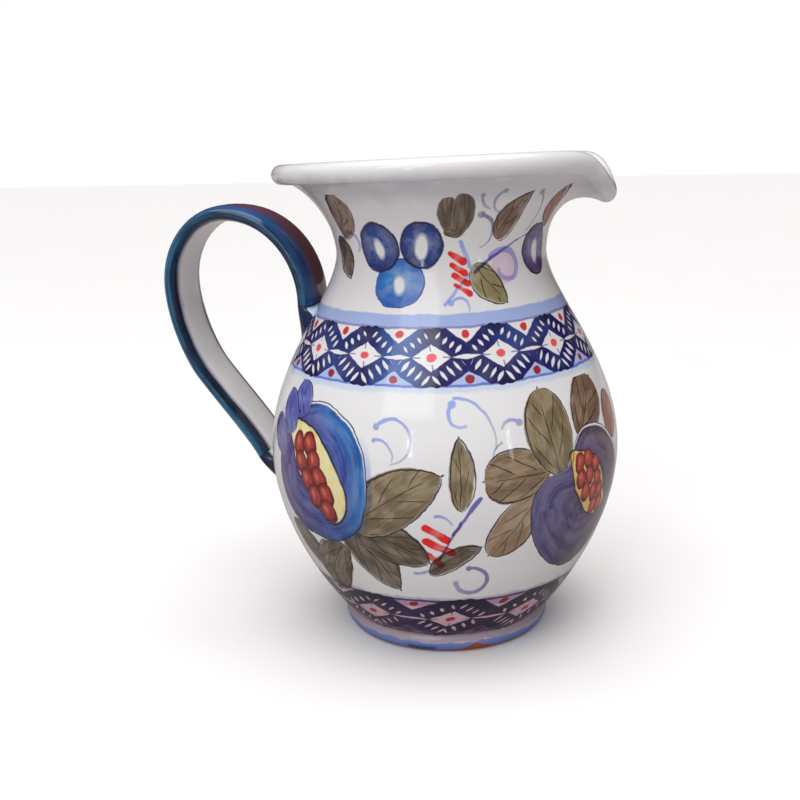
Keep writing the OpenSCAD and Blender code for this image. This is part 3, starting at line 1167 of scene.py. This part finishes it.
def paint_foot(p, patch):
    """The strip over the foot, left bare of pattern but washed pinkish grey and darkened as painted shade in
    its groove, its blue edge, and the clay where the glaze was wiped away.
    """
    phi, z, _ = parts_of(p.place)
    # the groove strip's own pinkish tone, darkened as painted shade where the groove lies in shadow
    p.ring(5.4, 9.0, pigment(0.58, 0.51, 0.56), 0.85, 0.8)
    p.ring(-1.0, 5.4, pigment(0.38, 0.46, 0.72), 0.95, 0.7, 1.2)
    # deeper blue low on the foot where patch is high: in places at random, and along the stretch that patch
    # lifts for the bands' painted reflection
    deeper = between(z, -1.0, 3.6, 2.0) * edge(patch - 0.5, 0.3)
    p.canvas = dye(p.canvas, deeper * 0.8, pigment(0.2, 0.26, 0.5))
    worn = 5.0 - size_of(phi + 62) * 0.33 - z + (p.flow - 0.5) * 3.0
    low = edge(0.7 - z + (p.flow - 0.5) * 1.2, 0.5)
    p.canvas = mix_colours(p.canvas, plain(0.68, 0.34, 0.2), most(edge(worn, 0.6), low))


# ---------------------------------------------------------------- materials


def new_material(name):
    """An empty material, and the place on its piece in metres, as a vector."""
    material = bpy.data.materials.new(name)
    material.use_nodes = True
    material.node_tree.nodes.clear()
    return material, add(material.node_tree, "TexCoord", (), "Object")


def finish(shader, kind):
    """Links a shader to the output of its material or world."""
    plug(shader.tree.nodes.new("ShaderNodeOutput" + kind).inputs[0], shader)


def finish_surface(colour, rough, bumps, **numbers):
    """Adds the shader. bumps are (height wire, strength, distance in mm), coarse to fine."""
    inputs = {"Base Color": colour, "Roughness": rough}
    for label, value in numbers.items():
        inputs[label.replace("_", " ")] = value
    for height, strength, distance in bumps:
        bump = {"Strength": strength, "Distance": distance * MM, "Height": height}
        if "Normal" in inputs:
            bump["Normal"] = inputs["Normal"]
        inputs["Normal"] = add(colour.tree, "Bump", bump)
    finish(add(colour.tree, "BsdfPrincipled", inputs), "Material")


def glaze_surface(place, colour):
    """Glossy tin glaze: a slow orange-peel swell, fine pinholes and a few duller streaks."""
    bumps = [(noise(place, 70, 1.0), 0.35, 0.9), (noise(place, 420, 2.0), 0.12, 0.12)]
    rough = noise(place, 160, 3.0) * 0.1 + 0.055
    finish_surface(
        colour, rough, bumps, Coat_Weight=0.15, Coat_Roughness=0.04, IOR=1.52, Specular_IOR_Level=0.35
    )


# the painting is laid round FRONT, in degrees, and again half a turn on
HALF_TURN = 180.0
FRONT = -78.0
BAND_CLIMB = 2.2


def painted_glaze(name, decorate, upper):
    """White glaze painted by decorate. The motifs repeat at every half turn, as the painter's did."""
    material, place = new_material(name)
    x, y, z = parts_of(place)
    phi = calc("ARCTAN2", y, x) * (180 / math.pi)
    wander = vector_calc("SUBTRACT", noise(place, 170, 3.0, 0.55, colour=True), (0.5, 0.5, 0.5))
    drift = parts_of(wander)
    flow = clamped(noise(place, 110, 4.0, 0.6) * 1.6 - 0.3)
    patch = edge(noise(place, 38, 2.0) - 0.55, 0.18)
    height = z * (1 / MM) + drift[1] * 1.5
    turn = phi + drift[0] * 1.2
    wrapped = calc("WRAP", turn, FRONT + HALF_TURN / 2, FRONT - HALF_TURN / 2)
    # painted reflection: patch rises in one stretch on each side, where the bands' ribbons turn lighter as
    # if a window mirrored in the glaze; the rest of patch is tone that differs at random
    patch = clamped(patch * 0.35 + edge(7.0 - size_of(wrapped + 94), 9.0) * 0.9)
    glaze = mix_colours(GLAZE_COOL, GLAZE_DULL, noise(place, 24, 3.0))
    p = Painter(glaze, combine(wrapped, height, 0.0), flow)
    decorate(p)
    # the bands run right round, and the upper one climbs a little toward the lip
    climb = most(calc("COSINE", phi * (math.pi / 180)), 0.0)
    p.place = combine(turn, height - climb * climb * BAND_CLIMB, 0.0)
    paint_upper_band(p, patch)
    if not upper:
        p.place = combine(turn, height, 0.0)
        paint_lower_band(p, patch)
        paint_foot(p, patch)
    glaze_surface(place, p.canvas)
    return material


def lining_glaze():
    """Plain white glaze inside, a little creamier where it pooled over the clay."""
    material, place = new_material("lining_glaze")
    patch = noise(place, 30, 4.0, 0.6)
    colour = mix_colours((0.8, 0.8, 0.79, 1), (0.74, 0.72, 0.69, 1), clamped(patch * 1.6 - 0.4))
    glaze_surface(place, colour)
    return material


def bare_clay():
    """Biscuit-fired red clay with grog specks and turning lines."""
    material, place = new_material("bare_clay")
    x, y, _ = parts_of(place)
    cloud = noise(place, 60, 4.0, 0.6)
    colour = mix_colours(plain(0.72, 0.42, 0.28), plain(0.58, 0.3, 0.18), cloud)
    speck = edge(noise(place, 900, 2.0) - 0.66, 0.05)
    colour = mix_colours(colour, plain(0.42, 0.22, 0.14), speck * 0.7)
    turning = calc("SINE", length(x, y) * 5200 + cloud * 3.0) * 0.5 + 0.5
    rough = cloud * 0.15 + 0.72
    finish_surface(colour, rough, [(turning, 0.15, 0.15), (noise(place, 700, 4.0, 0.7), 0.4, 0.3)])
    return material


def strap_place(place):
    """Where a point lies on the strap: across and through it from -1 to 1, and along the joint."""
    return parts_of(add(place.tree, "Attribute", (), "Vector", attribute_name="strap_place"))


def blue_glaze():
    """Cobalt glaze on the strap: deep navy, paler where it ran thin, with painted highlight streaks along
    the near edge and a painted plum reflection on the outer face, and white on the inner face.
    """
    material, place = new_material("blue_glaze")
    across, through, along = strap_place(place)
    cloud = noise(place, 45, 3.0, 0.6)
    fine = noise(place, 260, 3.0, 0.6)
    # the strap's length runs through the noise slowly, so that the glaze streaks along it
    drawn = combine(across * 1.6, through * 1.2, along * 0.5)
    streak = noise(drawn, 1.3, 3.0, 0.6)
    deep = mix_colours(plain(0.02, 0.06, 0.13), plain(0.05, 0.25, 0.4), clamped(streak * 3.0 - 1.3))
    # painted highlight: a bright teal streak along the middle of the near side
    painted_highlight = between(through + (cloud - 0.5) * 0.7, -0.2, 0.0, 0.24) * edge(0.0 - across - 0.6, 0.3)
    deep = mix_colours(deep, plain(0.13, 0.48, 0.66), painted_highlight * clamped(cloud * 3.0 - 0.95))
    face = mix_colours(plain(0.07, 0.2, 0.42), plain(0.14, 0.4, 0.66), clamped(streak * 2.6 - 0.8))
    outer = edge(through - 0.5 + (fine - 0.5) * 0.3, 0.35)
    blue = mix_colours(deep, face, outer * 0.8)
    # painted reflection: the outer face goes plum away from the near edge, as a warm room would mirror in it
    painted_plum_reflection = outer * edge(across + 0.25 + (cloud - 0.5) * 0.9, 0.7)
    blue = mix_colours(blue, plain(0.42, 0.17, 0.2), painted_plum_reflection * 0.92)
    # painted highlight: a pale streak along the near side, toward its outer face
    pale = between(through + (cloud - 0.5) * 0.5, 0.12, 0.5, 0.2) * edge(0.0 - across - 0.6, 0.3)
    blue = mix_colours(blue, plain(0.3, 0.58, 0.76), pale * clamped(streak * 2.4 - 0.75))
    lilac = mix_colours(WHITE, pigment(0.72, 0.66, 0.72), edge(size_of(across) - 0.66, 0.2) * 0.8)
    inner = edge(0.0 - through - 0.88 + (streak - 0.5) * 0.2, 0.12)
    glaze_surface(place, mix_colours(blue, lilac, inner))
    return material


def slip_glaze():
    """The glaze where the strap meets the body: the strap's blue runs thin into a pale blue wash."""
    material, place = new_material("slip_glaze")
    across, through, along = strap_place(place)
    cloud = noise(place, 90, 3.0, 0.6)
    thick = edge(through + 0.3, 0.6) * edge(0.72 - along + (cloud - 0.5) * 0.3, 0.25)
    wash = mix_colours(WHITE, pigment(0.6, 0.75, 0.9), clamped(cloud * 1.8 - 0.3) * thick)
    navy = mix_colours(plain(0.03, 0.07, 0.2), plain(0.05, 0.24, 0.44), clamped(cloud * 2.6 - 1.0))
    # the near edge stays navy to its end, but above the upper joint only the inner half of it does
    z = parts_of(place)[2]
    kept = most(edge(0.3 - through, 0.4), edge((0.1 - z) / MM))
    worn = 0.16 - along + (cloud - 0.5) * 0.4 + edge(0.0 - across - 0.55, 0.3) * kept
    painted = edge(worn, 0.1) * edge(through + 0.8, 0.15)
    glaze_surface(place, mix_colours(wash, navy, painted))
    return material


# ---------------------------------------------------------------- the pieces


def build_vessel():
    """The clay wall, and the coats over its outside and inside."""
    belly_paint = painted_glaze("belly_glaze", paint_belly, False)
    shoulder_paint = painted_glaze("shoulder_glaze", paint_neck, True)
    seam = int(np.argmin(np.abs(outer_sections[0, :, 1] - SEAM_Z)))
    half = AROUND // 2
    front, back = [*range(half, AROUND), 0], [*range(half + 1)]
    for side, rows in (("front", front), ("back", back)):
        for part, columns, paint in (
            ("belly", slice(0, seam + 1), belly_paint),
            ("shoulder", slice(seam, None), shoulder_paint),
        ):
            grid, normals = outer_grid[rows][:, columns], outer_normals[rows][:, columns]
            coat(f"painted_{part}_{side}", grid, normals, paint, ["body_glaze"])
    coat("lining", inner_grid, inner_normals, lining_glaze(), ["lining_glaze"], floor_z)
    under = [pair(cove_r * s, foot_h, share)[:, None] for s in (0.06, 0.3, 0.55, 0.8, 1.0)]
    clay_grid = turned(np.concatenate([*under, *shaped, inside], 1), azimuths)
    normals = grid_normals(clay_grid, True)
    clay = bare_clay()
    solid("clay_wall", clay_grid, normals, (foot_h, floor_z), clay, ["body_wall"])
    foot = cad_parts["foot_ring"]
    foot.data.materials.clear()
    foot.data.materials.append(clay)


def mark_strap_place(piece, marks):
    """Stores where each point lies on the strap: (across, through, along the joint)."""
    attribute = piece.data.attributes.new("strap_place", "FLOAT_VECTOR", "POINT")
    attribute.data.foreach_set("vector", np.asarray(marks, np.float32).reshape(-1))


def build_handle():
    """The strap and the two joints of slip, cut from one smooth grid so that their shading runs on."""
    strap, heading = strap_grid()
    # the strap's ends run on into the joints
    first_way = np.array([heading[0][0], 0, -heading[0][1]])
    last_way = np.array([-heading[-1][0], 0, heading[-1][1]])
    top = joint_rows(strap[:, 0], first_way, top_joint)
    low = joint_rows(strap[:, -1], last_way, low_joint)
    grid = np.concatenate([top[:, ::-1], strap, low], 1)
    normals = -grid_normals(grid, True)
    outline = strap_outline()
    a, b = JOINT_STEPS, JOINT_STEPS + strap.shape[1] - 1
    lined = grid + normals * glaze_t
    blue, slip_coat = blue_glaze(), slip_glaze()
    pieces = (
        ("handle", slice(a, b + 1), blue, "blue_glaze", ["handle_strap", "handle_glaze"]),
        ("handle_top_slip", slice(0, a + 1), slip_coat, "slip_glaze", ["handle_top_joint"]),
        ("handle_bottom_slip", slice(b, None), slip_coat, "slip_glaze", ["handle_bottom_joint"]),
    )
    for name, columns, material, slot, nodes in pieces:
        part = lined[:, columns]
        piece = tube(name, part, normals[:, columns], material, nodes)
        joint = a if name == "handle_top_slip" else b
        along = np.abs(np.arange(lined.shape[1])[columns] - joint) / JOINT_STEPS
        marks = np.zeros((STRAP_SIDES, part.shape[1], 3))
        marks[..., 0] = outline[:, None, 0] / (strap_w / 2)
        marks[..., 1] = -outline[:, None, 1] / (strap_t / 2)
        marks[..., 2] = along[None]
        mark_strap_place(piece, marks)


# ---------------------------------------------------------------- the studio

# the camera's turn round the axis in degrees, its distance from the axis and its height in metres
CAMERA_TURN = -78.5
CAMERA_OUT = 0.4636
CAMERA_UP = 0.2115
# how it is turned from facing the axis, in degrees
CAMERA_YAW = -2.44
CAMERA_PITCH = 13.15
CAMERA_ROLL = -1.41
LENS = 46.86
# what the lamps face
MIDDLE = (0, 0, 0.11)
FLOOR_HALF = 9.0
FLOOR_TONES = (0.93, 0.93, 0.93, 1), (0.96, 0.96, 0.96, 1)
# the floor's tone where it lights the vessel and mirrors in the glaze: no brighter than a table top
FLOOR_LIT = (0.41, 0.38, 0.37, 1)
ROOM_FRONT, ROOM_BACK = (1, 1, 1, 1), (0.66, 0.44, 0.4, 1)


def aim(azimuth, pitch, roll):
    """A camera's rotation. It looks along azimuth, in degrees from +Y toward +X, and pitch below level."""
    yaw, down, lean = (math.radians(v) for v in (azimuth, pitch, roll))
    ahead = Vector((math.sin(yaw) * math.cos(down), math.cos(yaw) * math.cos(down), -math.sin(down)))
    right = Vector((math.cos(yaw), -math.sin(yaw), 0))
    up = right.cross(ahead)
    leaned_right = right * math.cos(lean) + up * math.sin(lean)
    leaned_up = up * math.cos(lean) - right * math.sin(lean)
    return Matrix((leaned_right, leaned_up, -ahead)).transposed()


def build_camera():
    data = bpy.data.cameras.new("camera")
    data.lens = LENS
    data.clip_start = 0.01
    camera = put("camera", data)
    turn = math.radians(CAMERA_TURN)
    place = Vector((CAMERA_OUT * math.cos(turn), CAMERA_OUT * math.sin(turn), CAMERA_UP))
    facing = CAMERA_YAW - (90 + CAMERA_TURN)
    camera.matrix_world = Matrix.Translation(place) @ aim(facing, CAMERA_PITCH, CAMERA_ROLL).to_4x4()
    bpy.context.scene.camera = camera


def soft_light(name, place, width, height, power, colour):
    """A rectangular lamp that faces the vessel's middle."""
    data = bpy.data.lights.new(name, "AREA")
    data.shape = "RECTANGLE"
    data.size, data.size_y = width, height
    data.energy = power
    data.color = colour
    way = (Vector(MIDDLE) - Vector(place)).to_track_quat("-Z", "Y")
    put(name, data).matrix_world = Matrix.Translation(place) @ way.to_matrix().to_4x4()


def seen_from(azimuth, lift, out):
    """A place out metres from the vessel's middle, at an azimuth and an elevation in degrees."""
    a, e = math.radians(azimuth), math.radians(lift)
    return (out * math.cos(a) * math.cos(e), out * math.sin(a) * math.cos(e), MIDDLE[2] + out * math.sin(e))


def overhead_sun(strength):
    """A wide sun straight above: it lights the whole floor alike, out to the horizon."""
    data = bpy.data.lights.new("overhead", "SUN")
    data.energy = strength
    data.angle = math.radians(70)
    put("overhead", data)


def camera_ray(tree):
    """1 for what the camera sees itself, and 0 for light and reflections."""
    return add(tree, "LightPath", (), "Is Camera Ray")


def build_floor():
    """A wide pale floor with a faint plaster mottle."""
    mesh = bpy.data.meshes.new("floor")
    wide, z = FLOOR_HALF, float(foot_low[2]) * MM
    corners = [(-wide, -wide, z), (wide, -wide, z), (wide, wide, z), (-wide, wide, z)]
    mesh.from_pydata(corners, [], [(0, 1, 2, 3)])
    material, place = new_material("floor")
    pale = mix_colours(*FLOOR_TONES, noise(place, 6, 3.0))
    colour = mix_colours(FLOOR_LIT, pale, camera_ray(place.tree))
    finish_surface(colour, noise(place, 12, 2.0) * 0.1 + 0.6, [(noise(place, 300, 2.0), 0.05, 0.1)])
    mesh.materials.append(material)
    floor = put("floor", mesh)


def build_world():
    """White for the camera. Light and reflections come from a soft room, dim and warm behind."""
    world = bpy.data.worlds.new("studio")
    world.use_nodes = True
    tree = world.node_tree
    tree.nodes.clear()
    _, y, z = parts_of(add(tree, "TexCoord", (), "Generated"))
    # the room's strength from straight below, at 0, to straight above, at 1
    strengths = [(0, 0.4), (0.48, 0.45), (0.56, 0.52), (0.75, 0.66), (1, 0.7)]
    sky = float_curve(calc("MULTIPLY_ADD", z, 0.5, 0.5), strengths)
    behind = edge(y * 0.8 + 0.1, 1.1)
    tint = mix_colours(ROOM_FRONT, ROOM_BACK, behind * edge(0.75 - z, 0.5))
    room = add(tree, "Background", (tint, sky * (1.08 - behind * 0.8)))
    white = add(tree, "Background", ((1, 1, 1, 1),))
    finish(add(tree, "MixShader", (camera_ray(tree), room, white)), "World")
    bpy.context.scene.world = world


def build_studio():
    build_camera()
    build_floor()
    build_world()
    soft_light("key", (-0.26, -1.08, 1.0), 0.8, 0.8, 4.7, (1, 0.99, 0.97))
    soft_light("left window", seen_from(-99, 9, 1.1), 0.05, 0.26, 0.42, (0.85, 0.93, 1))
    soft_light("right window", seen_from(-37, 6, 1.1), 0.035, 0.3, 0.3, (0.9, 0.95, 1))
    overhead_sun(2.25)
    bpy.context.scene.view_settings.view_transform = "Standard"


build_studio()
build_vessel()
build_handle()
